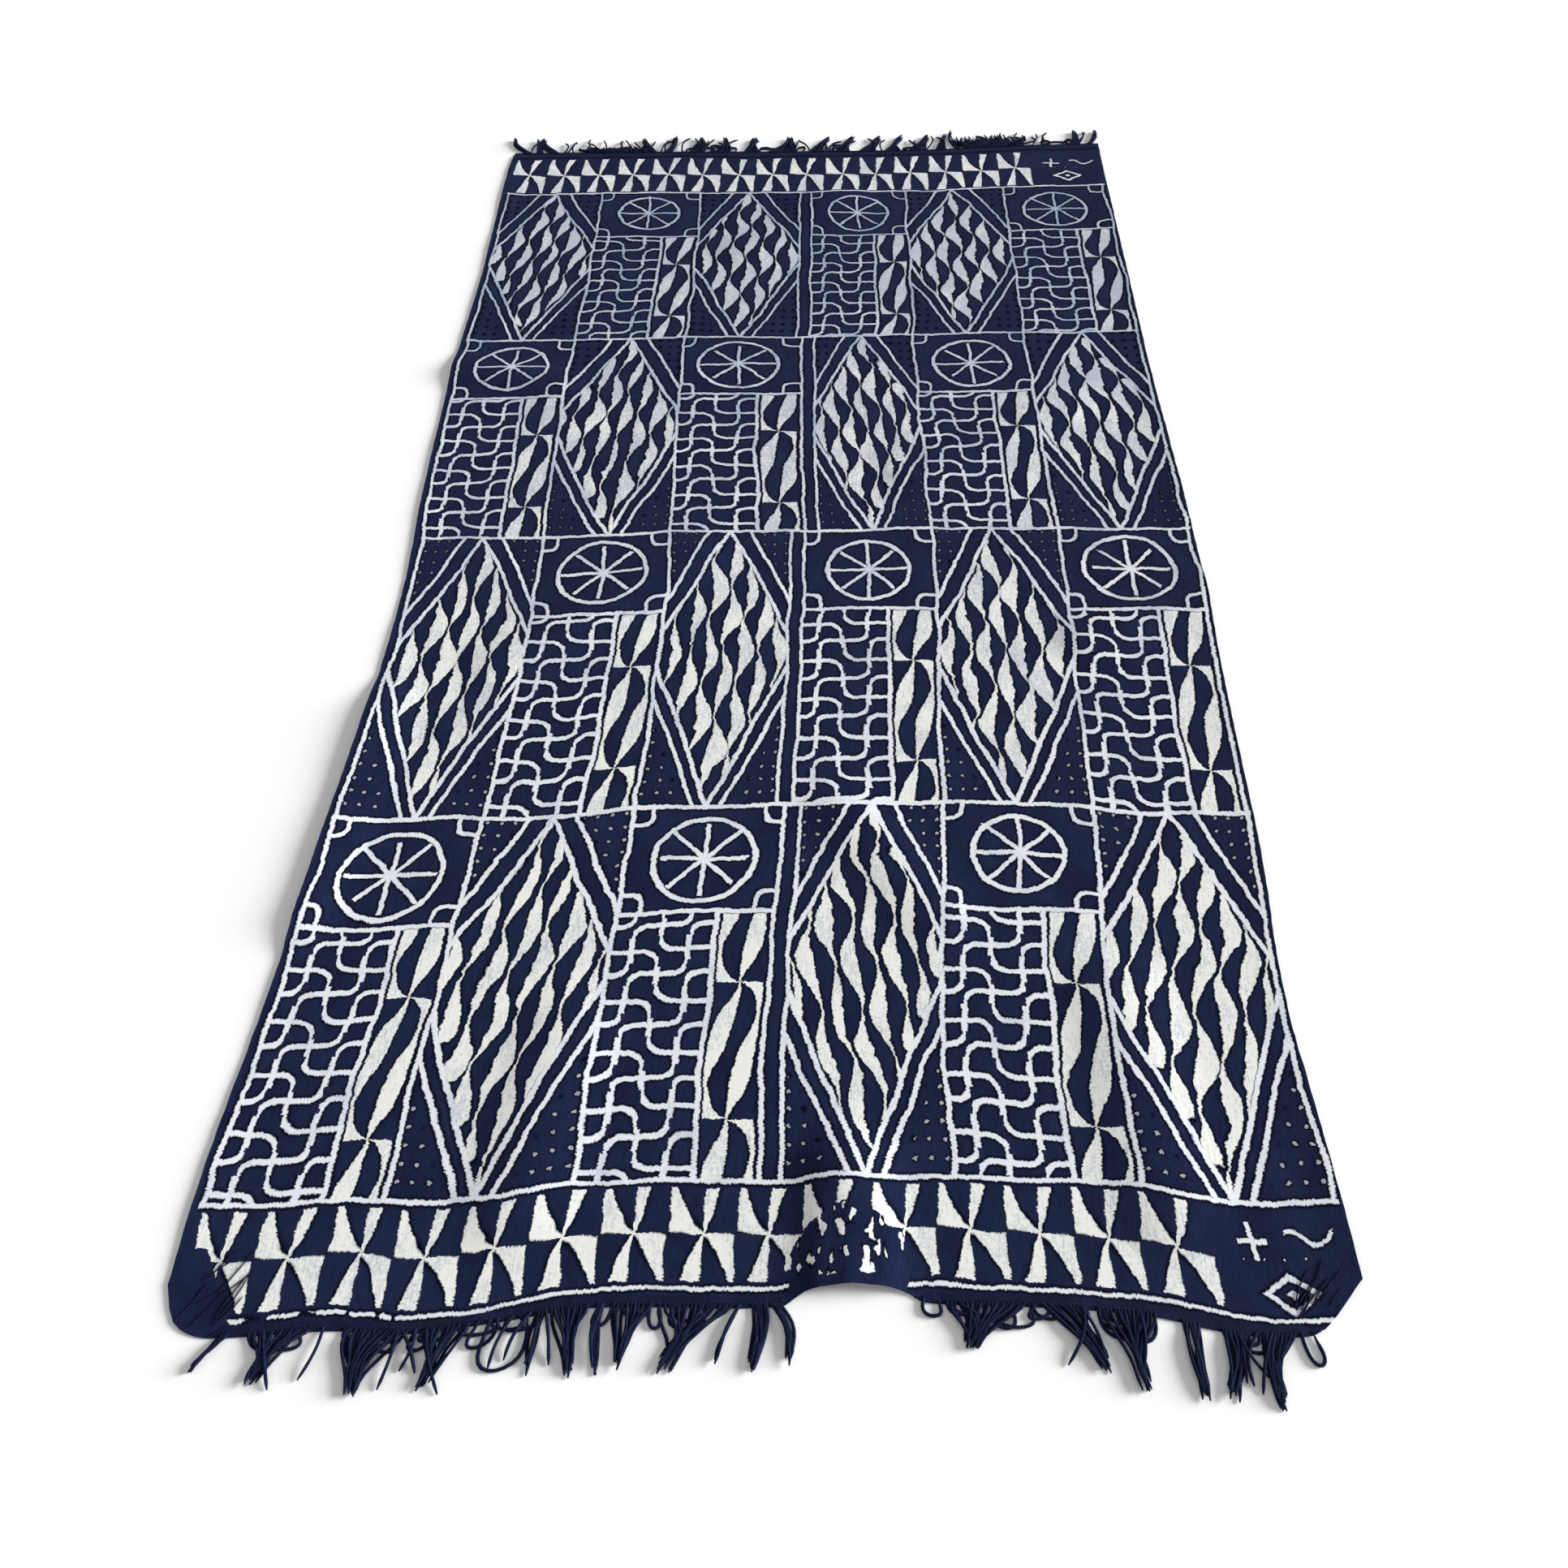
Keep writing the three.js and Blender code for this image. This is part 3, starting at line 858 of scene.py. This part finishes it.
    # the two borders, broken by dark streaks of painted crease shade in the buckle and bare at the frayed
    # corner
    nearLow = nearHemLine + pinwheel["fromHem"]
    nearHigh = dyeChart["rowLines"][0] - pinwheel["fromRow"]
    farLow = dyeChart["rowLines"][-1] + pinwheel["fromRow"]
    farHigh = farHemLine - pinwheel["fromHem"]
    fills = fills.most(borderBand(x, v, nearLow, nearHigh)).most(borderBand(x, v, farLow, farHigh))
    # dark streaks of painted crease shade inside the buckle, with the white showing only between them
    creaseShadeX, creaseShadeV = brokenDyeAndCreaseShade["creaseShadeSize"]
    creaseShadeField = cloud(tree, x / creaseShadeX, v / creaseShadeV, seed=9.7)[0] - brokenDyeAndCreaseShade["creaseShadeLimit"]
    whiteBetweenCreaseShade = inkArea(creaseShadeField * brokenDyeAndCreaseShade["creaseShadeSteepness"])
    fills = fills * (1 - inBuckle) + whiteBetweenCreaseShade * inBuckle * v.over(brokenDyeAndCreaseShade["buckleMiddle"][1])
    bare = 1 - inCorner
    nearMarks = cornerMarks(x, v, (nearLow + nearHigh) / 2)
    farMarks = cornerMarks(x, v, (farLow + farHigh) / 2)
    marks = nearMarks * v.under(nearHigh) + farMarks * v.over(farLow)
    return plainX, plainV, lines.most(marks) * bare, fills * bare


def colourMix(tree, share, first, second):
    node = tree.nodes.new("ShaderNodeMix")
    node.data_type = "RGBA"
    node.clamp_factor = True
    tree.links.new(share.socket, node.inputs["Factor"])
    for place, value in zip((node.inputs[6], node.inputs[7]), (first, second)):
        if isinstance(value, tuple):
            place.default_value = (*value, 1)
        else:
            tree.links.new(value, place)
    return node.outputs[2]


def addBump(tree, shader, height, strength, depth):
    bump = tree.nodes.new("ShaderNodeBump")
    bump.inputs["Strength"].default_value = strength
    bump.inputs["Distance"].default_value = depth
    tree.links.new(height.socket, bump.inputs["Height"])
    tree.links.new(bump.outputs[0], shader.inputs["Normal"])


def weighed(fields, weights):
    # fields times their weights, added up
    total = fields[0] * weights[0]
    for field, weight in zip(fields[1:], weights[1:]):
        total = total + field * weight
    return total


# wear and finish of the dyed cotton: sizes in millimetres across and along, then shares of each cloud
cottonWear = {
    "patchSize": (48, 75),
    "streakSize": (1.6, 14),
    "speckSize": (2.2, 2.8),
    "worn": (1.5, 1.2),
    "wornStart": 0.35,
    "gaps": (1.4, 1.2, 0.9),
    "gapsStart": 1.0,
    "held": (1.8, 1.2),
    "heldStart": 1.1,
    "bluish": (0.85, 1.8, 0.9),
    "grain": (0.95, 2.0, 1.4, 2.0),
    "grainStart": 0.1,
    "fadeStart": 450,
    "fadeLength": 1100,
    "farBorderSpared": 0.6,
    "lineFade": 0.7,
    "fillFade": 0.6,
    "pooling": 2.8,
    "weaveWaves": 5.2,
    "weaveRough": (1.5, 1.2),
    "weaveStrength": 0.45,
    "weaveDepth": 0.0005,
    "roughness": 0.92,
    "gloss": 0.012,
    "sheen": 0.005,
    "sheenRoughness": 0.5,
}


def dyedCotton():
    material, shader = newMaterial("dyedCotton", cottonWear["roughness"], cottonWear["gloss"])
    tree = material.node_tree
    plainX, plainV, lines, fills = dyePattern(tree)
    # worn indigo, streaked along the threads
    patchX, patchV = cottonWear["patchSize"]
    streakX, streakV = cottonWear["streakSize"]
    speckX, speckV = cottonWear["speckSize"]
    patches = cloud(tree, plainX / patchX, plainV / patchV, seed=5.0, detail=3.0)
    streaks = cloud(tree, plainX / streakX, plainV / streakV, seed=6.0)
    specks = cloud(tree, plainX / speckX, plainV / speckV, seed=7.0, detail=2.0)
    worn = weighed((patches[0], streaks[0]), cottonWear["worn"]) + cottonWear["wornStart"]
    ground = colourMix(tree, worn, dyeColours["indigo"], dyeColours["indigoWorn"])
    # white where the resist held, greyer, bluer and thinner from the near rows to the far rows but less so
    # in the far border, with dye pooled dark round it
    spared = plainV.over(dyeChart["rowLines"][-1]) * cottonWear["farBorderSpared"]
    faraway = (plainV - cottonWear["fadeStart"]).math("DIVIDE", cottonWear["fadeLength"], clamp=True)
    faraway = faraway * (1 - spared)
    gaps = weighed((patches[1], streaks[1], specks[0]), cottonWear["gaps"]) + cottonWear["gapsStart"]
    held = weighed((specks[2], patches[2]), cottonWear["held"]) + cottonWear["heldStart"]
    soft = dyeChart["inkSoft"]
    start = dyeChart["inkStart"]
    lineCore = lines * soft - faraway * cottonWear["lineFade"] - start
    lineCore = lineCore.math("MULTIPLY", gaps.least(1.0), clamp=True)
    fillCore = fills * soft - faraway * cottonWear["fillFade"] - start
    fillCore = fillCore.math("MULTIPLY", held.least(1.0), clamp=True)
    bluish = weighed((faraway, patches[0], specks[1]), cottonWear["bluish"])
    lineTint = colourMix(tree, bluish, dyeColours["lineWhite"], dyeColours["lineBlue"])
    grain = weighed((faraway, specks[1], streaks[2], patches[0]), cottonWear["grain"])
    cream = colourMix(tree, grain + cottonWear["grainStart"], dyeColours["cream"], dyeColours["creamGrey"])
    pooled = colourMix(tree, lines.most(fills) * cottonWear["pooling"], ground, dyeColours["indigoPooled"])
    white = colourMix(tree, fillCore, lineTint, cream)
    dyed = colourMix(tree, lineCore.most(fillCore), pooled, white)
    tree.links.new(dyed, shader.inputs["Base Color"])
    # plain weave of soft round threads
    waves = cottonWear["weaveWaves"]
    weave = (plainX * waves).sine() * (plainV * waves).sine()
    weave = weave + streaks[0] * cottonWear["weaveRough"][0] + specks[0] * cottonWear["weaveRough"][1]
    addBump(tree, shader, weave, cottonWear["weaveStrength"], cottonWear["weaveDepth"])
    shader.inputs["Sheen Weight"].default_value = cottonWear["sheen"]
    shader.inputs["Sheen Roughness"].default_value = cottonWear["sheenRoughness"]
    print("dyed cotton:", len(tree.nodes), "nodes")
    return material


# fringe: a narrow woven strip with its loose warp yarns gathered in locks
# lengths in metres, sizes of the fibres' clouds in millimetres
fringeYarn = {
    "seed": {"fringe_near_left": 11, "fringe_near_right": 4, "fringe_far": 7},
    "radius": 0.0014,
    "radiusVaries": (0.93, 1.07),
    "tipThinning": 0.55,
    "tipThinsFrom": 0.86,
    "pitch": 0.0028,
    "tipShare": 0.5,
    "parts": 8,
    "yarnsPerStrand": {"fringe_near_left": 2.4, "fringe_near_right": 2.6, "fringe_far": 4.0},
    "rootVaries": 0.0006,
    "tipVaries": 0.0012,
    "rootTuck": 0.003,
    "gatheredAt": (0.40, 0.95),
    "bowVaries": 0.003,
    "leanEarly": 0.6,
    "wiggle": 0.0009,
    "wiggleTurns": 6,
    "shortest": 0.78,
    "longest": 1.05,
    "onFloor": 1.08,
    "upperLayer": 1.75,
    "upperLayerFrom": 0.35,
    "yarnsWhereOpen": 10,
    "openTip": 0.030,
    "openLength": (0.5, 1.0),
    "openBow": 0.010,
    "colour": (0.0052, 0.0080, 0.0270),
    "colourWorn": (0.0110, 0.0165, 0.0470),
    "fibreSize": (0.8, 2.4),
    "shadeSize": (9, 14),
    "worn": (1.6, 1.5),
    "wornStart": 0.35,
    "fibreHeight": 2,
    "twistWaves": 2.6,
    "twistHeight": 0.4,
    "bumpStrength": 0.6,
    "bumpDepth": 0.0005,
    "roughness": 0.95,
    "gloss": 0.08,
}
# loops and strays of the fringe: sizes of the caught-up loops in millimetres, the rest in metres
caughtYarn = {
    "loopRadius": 0.0015,
    "loopParts": 14,
    "loopNeck": 0.65,
    "loopRound": 0.8,
    "tangles": {"fringe_near_left": 16, "fringe_near_right": 14, "fringe_far": 26},
    "tangleWidth": (7, 24),
    "tangleReach": (9, 24),
    "tangleLean": (-9, 9),
    "tangleMargins": (0.02, 0.05),
    "strays": {"fringe_near_left": 9, "fringe_near_right": 7, "fringe_far": 44},
    "strayMargin": 0.03,
    "strayLean": (-0.022, 0.022),
    "strayReach": (0.028, 0.046),
    "strayBow": (-0.007, 0.007),
    "strayLift": 2.4,
}
# each lock in millimetres: middle, width at the root, strands, reach, lean, bow, and whether it stays open
yarnLocks = {
    "fringe_near_left": (
        (-424, 6, 2, 25, -21, 2, 0), (-382, 46, 6, 37, -13, 3, 0), (-306, 50, 7, 45, -10, -3, 0),
        (-251, 34, 6, 42, -10, 2, 0), (-177, 5, 2, 45, -6, 1, 0), (-155, 28, 5, 50, 5, -2, 0),
        (-131, 5, 2, 49, 0, -1, 0), (-104, 30, 4, 49, -9, 2, 0), (-54, 58, 8, 48, -22, 7, 0),
        (-19, 0, 1, 43, -17, 3, 0), (-3, 10, 4, 47, -5, 5, 0), (9, 5, 3, 44, 12, 3, 0)),
    "fringe_near_right": (
        (178, 62, 8, 32, -13, 2, 0), (236, 28, 5, 46, 33, -3, 0), (290, 44, 6, 57, 8, -3, 0),
        (340, 12, 4, 54, 3, -2, 0), (374, 20, 5, 48, -10, 4, 0), (408, 24, 5, 53, -8, -3, 0)),
    "fringe_far": (
        (-472, 8, 3, 46, -30, -2, 0), (-456, 5, 2, 44, -6, 0, 0), (-428, 12, 4, 46, -26, -2, 0),
        (-330, 78, 6, 15, 4, 0, 1), (-262, 10, 3, 40, -22, 2, 0), (-238, 10, 3, 48, 8, 3, 0),
        (-192, 26, 4, 44, 6, 4, 0), (-147, 24, 5, 43, 2, 2, 0), (-97, 24, 5, 42, 3, -3, 0),
        (-46, 44, 6, 44, 10, 3, 0), (10, 24, 4, 43, 20, -4, 0), (54, 24, 3, 46, 18, -5, 0),
        (96, 26, 4, 44, 20, -4, 0), (138, 24, 3, 46, 16, -5, 0), (180, 26, 4, 45, 18, -4, 0),
        (220, 18, 3, 47, 8, -3, 0), (247, 0, 1, 60, -8, -4, 0), (308, 92, 8, 38, 0, 0, 1),
        (444, 16, 4, 41, 4, 2, 0), (470, 9, 3, 42, 14, 2, 0)),
}
# loops of uncut yarn: start, end, reach, lean, in millimetres
yarnLoops = {
    "fringe_near_left": ((-217, -188, 40, -4),),
    "fringe_near_right": ((128, 140, 13, 1), (425, 434, 26, 7)),
    "fringe_far": (),
}
# yarns frayed loose over the near corners: middle of each patch and its half width, in metres
looseYarn = {
    "patches": {
        "fringe_near_left": (-0.442, -0.918, 0.021),
        "fringe_near_right": (0.446, -0.912, 0.018),
    },
    "count": 10,
    "radius": 0.00055,
    "parts": 8,
    "acrossShare": 0.8,
    "angle": (38, 66),
    "length": (0.5, 1.0),
    "bend": 0.003,
    "lift": (0.0000, 0.0004),
}


def addYarn(curve, points, radius):
    spline = curve.splines.new("POLY")
    spline.points.add(len(points) - 1)
    last = len(points) - 1
    for i, point in enumerate(points):
        spline.points[i].co = (point[0] + laidShift[0], point[1] + laidShift[1], point[2], 1)
        taper = 1 - fringeYarn["tipThinning"] * ease(i / last, fringeYarn["tipThinsFrom"], 1.0)
        # the curve's bevel is a millimetre, so a point's radius is in millimetres
        spline.points[i].radius = radius * taper * 1000 * random.uniform(*fringeYarn["radiusVaries"])


def addLock(curve, strip, lock, yarnsPerStrand):
    middle, width, strands, reach, lean, bow, staysOpen = lock
    x, roots, reach, lean, bow = [value * 0.001 for value in (middle, width, reach, lean, bow)]
    radius = fringeYarn["radius"]
    tipPitch = fringeYarn["pitch"] * math.hypot(reach, lean) / reach
    rootPitch = max(roots / max(strands - 1, 1), tipPitch)
    yarns = round((fringeYarn["yarnsWhereOpen"] if staysOpen else yarnsPerStrand) * strands)
    for j in range(yarns):
        place = j * (strands - 1) / max(yarns - 1, 1) - (strands - 1) / 2
        upper = j % 2
        rootX = x + place * rootPitch + random.uniform(-1, 1) * fringeYarn["rootVaries"]
        tipPlace = place * (rootPitch if staysOpen else tipPitch * fringeYarn["tipShare"])
        tipX = x + lean + tipPlace + random.uniform(-1, 1) * fringeYarn["tipVaries"]
        long = reach * random.uniform(fringeYarn["shortest"], fringeYarn["longest"])
        gathered = random.uniform(*fringeYarn["gatheredAt"])
        curl = bow + random.uniform(-1, 1) * fringeYarn["bowVaries"]
        if staysOpen:
            # tangled yarns lying every way
            tipX += random.uniform(-fringeYarn["openTip"], fringeYarn["openTip"])
            long *= random.uniform(*fringeYarn["openLength"])
            curl = random.uniform(-fringeYarn["openBow"], fringeYarn["openBow"])
        phase = random.uniform(0, math.tau)
        early = fringeYarn["leanEarly"]
        points = []
        for i in range(fringeYarn["parts"] + 1):
            t = i / fringeYarn["parts"]
            sway = fringeYarn["wiggle"] * t * math.sin(phase + t * fringeYarn["wiggleTurns"])
            spread = rootX - x + (tipX - x - lean - rootX + x) * ease(t, 0, gathered)
            px = x + spread + lean * t * (1 + early - early * t) + curl * math.sin(math.pi * t) + sway
            py = hemY(strip, rootX) + strip["out"] * (long * t - fringeYarn["rootTuck"] * (1 - t))
            layer = upper * fringeYarn["upperLayer"] * ease(t, 0, fringeYarn["upperLayerFrom"])
            points.append((px, py, radius * (fringeYarn["onFloor"] + layer)))
        addYarn(curve, points, radius)


def addLoop(curve, strip, loop):
    start, end, reach, lean = [value * 0.001 for value in loop]
    half = (end - start) / 2
    radius = caughtYarn["loopRadius"]
    points = []
    for i in range(caughtYarn["loopParts"] + 1):
        t = i / caughtYarn["loopParts"]
        px = (start + end) / 2 + lean * math.sin(math.pi * t) + half * (2 * t - 1)
        px -= caughtYarn["loopNeck"] * half * math.sin(math.tau * t)
        out = reach * math.sin(math.pi * t) ** caughtYarn["loopRound"] - fringeYarn["rootTuck"]
        py = hemY(strip, px) + strip["out"] * out
        points.append((px, py, radius * fringeYarn["onFloor"]))
    addYarn(curve, points, radius)


def addTangles(curve, strip, count):
    # low loops caught up between the locks
    fromStart, fromStop = caughtYarn["tangleMargins"]
    for j in range(count):
        start = random.uniform(strip["start"] + fromStart, strip["stop"] - fromStop) * 1000
        wide = random.uniform(*caughtYarn["tangleWidth"])
        reach = random.uniform(*caughtYarn["tangleReach"])
        addLoop(curve, strip, (start, start + wide, reach, random.uniform(*caughtYarn["tangleLean"])))


def addStrays(curve, strip, count):
    # single yarns that lie apart from the locks
    radius = fringeYarn["radius"]
    margin = caughtYarn["strayMargin"]
    for j in range(count):
        x = random.uniform(strip["start"] + margin, strip["stop"] - margin)
        lean = random.uniform(*caughtYarn["strayLean"])
        reach = random.uniform(*caughtYarn["strayReach"])
        bow = random.uniform(*caughtYarn["strayBow"])
        points = []
        for i in range(fringeYarn["parts"] + 1):
            t = i / fringeYarn["parts"]
            px = x + lean * t + bow * math.sin(math.pi * t)
            py = hemY(strip, x) + strip["out"] * (reach * t - fringeYarn["rootTuck"] * (1 - t))
            lift = caughtYarn["strayLift"] * math.sin(math.pi * t)
            points.append((px, py, radius * (fringeYarn["onFloor"] + lift)))
        addYarn(curve, points, radius)


def addLoose(curve, patch):
    middleX, middleY, half = patch
    radius = looseYarn["radius"]
    for j in range(looseYarn["count"]):
        x = middleX + random.uniform(-1, 1) * half * looseYarn["acrossShare"]
        y = middleY + random.uniform(-1, 1) * half
        angle = math.radians(random.uniform(*looseYarn["angle"]))
        long = random.uniform(*looseYarn["length"]) * half
        bend = random.uniform(-1, 1) * looseYarn["bend"]
        points = []
        for i in range(looseYarn["parts"] + 1):
            t = 2 * i / looseYarn["parts"] - 1
            px = x + math.cos(angle) * long * t + bend * (1 - t * t)
            py = y + math.sin(angle) * long * t
            lift = random.uniform(*looseYarn["lift"])
            points.append((px, py, clothHeight(px, py) + clothSheet["thickness"] + radius + lift))
        addYarn(curve, points, radius)


def makeStrip(name, strip):
    bpy.ops.object.select_all(action="DESELECT")
    columns = int((strip["stop"] - strip["start"]) / clothSheet["stripColumn"])
    hemHalf = clothSheet["hemWidth"] / 2
    bpy.ops.mesh.primitive_grid_add(x_subdivisions=columns, y_subdivisions=2, size=1, calc_uvs=True)
    band = bpy.context.object
    band.name = name + "_strip"
    for vertex in band.data.vertices:
        across = vertex.co.x + 0.5
        inward = vertex.co.y + 0.5 if strip["out"] < 0 else 0.5 - vertex.co.y
        reach = clothSheet["stripOverrun"] if strip["out"] < 0 else 0
        x = strip["start"] - reach + (strip["stop"] - strip["start"] + 2 * reach) * across
        if strip["out"] > 0:
            x = min(max(x, -hemHalf), hemHalf)
        depth = stripDepth(strip, x) if strip["out"] < 0 else clothSheet["stripDepth"]
        y = hemY(strip, x) - strip["out"] * depth * inward
        if strip["out"] > 0:
            x = sideX(x / clothSheet["hemWidth"] + 0.5, y)
        vertex.co = (x + laidShift[0], y + laidShift[1], clothHeight(x, y))
    thicken(band)
    return band


def makeFringe(name):
    strip = strips[name]
    random.seed(fringeYarn["seed"][name])
    band = makeStrip(name, strip)
    curve = bpy.data.curves.new(name + "_yarns", "CURVE")
    curve.dimensions = "3D"
    curve.bevel_depth = 0.001
    curve.bevel_resolution = 1
    curve.use_fill_caps = True
    for lock in yarnLocks[name]:
        addLock(curve, strip, lock, fringeYarn["yarnsPerStrand"][name])
    for loop in yarnLoops[name]:
        addLoop(curve, strip, loop)
    addTangles(curve, strip, caughtYarn["tangles"][name])
    addStrays(curve, strip, caughtYarn["strays"][name])
    if name in looseYarn["patches"]:
        addLoose(curve, looseYarn["patches"][name])
    yarns = bpy.data.objects.new(name + "_yarns", curve)
    bpy.context.scene.collection.objects.link(yarns)
    bpy.ops.object.select_all(action="DESELECT")
    yarns.select_set(True)
    bpy.context.view_layer.objects.active = yarns
    bpy.ops.object.convert(target="MESH")
    bpy.ops.object.shade_smooth()
    band.select_set(True)
    bpy.context.view_layer.objects.active = band
    bpy.ops.object.join()
    band.name = name + "_yarn"
    print(name + ":", len(band.data.polygons), "faces")
    return band


def yarnMaterial():
    material, shader = newMaterial("indigoYarn", fringeYarn["roughness"], fringeYarn["gloss"])
    tree = material.node_tree
    spot = tree.nodes.new("ShaderNodeTexCoord")
    split = tree.nodes.new("ShaderNodeSeparateXYZ")
    tree.links.new(spot.outputs["Object"], split.inputs[0])
    x = Wire(tree, split.outputs[0]) * 1000
    y = Wire(tree, split.outputs[1]) * 1000
    fibreX, fibreY = fringeYarn["fibreSize"]
    shadeX, shadeY = fringeYarn["shadeSize"]
    fibres = cloud(tree, x / fibreX, y / fibreY, seed=4.0, detail=2.0)
    shades = cloud(tree, x / shadeX, y / shadeY, seed=9.0)
    worn = weighed((fibres[0], shades[0]), fringeYarn["worn"]) + fringeYarn["wornStart"]
    colour = colourMix(tree, worn, fringeYarn["colour"], fringeYarn["colourWorn"])
    tree.links.new(colour, shader.inputs["Base Color"])
    # fibres, and the slanting twist of the yarn
    twist = (x * fringeYarn["twistWaves"] + y * fringeYarn["twistWaves"]).sine() * fringeYarn["twistHeight"]
    relief = fibres[1] * fringeYarn["fibreHeight"] + twist
    addBump(tree, shader, relief, fringeYarn["bumpStrength"], fringeYarn["bumpDepth"])
    print("indigo yarn:", len(tree.nodes), "nodes")
    return material


cottonMaterial = dyedCotton()
cloth = makeCloth()
cloth.data.materials.append(cottonMaterial)
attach(cloth, "root")
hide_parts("cloth")

yarnLook = yarnMaterial()
for name in strips:
    fringe = makeFringe(name)
    fringe.data.materials.clear()
    fringe.data.materials.append(yarnLook)
    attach(fringe, "root")
    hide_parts(name)
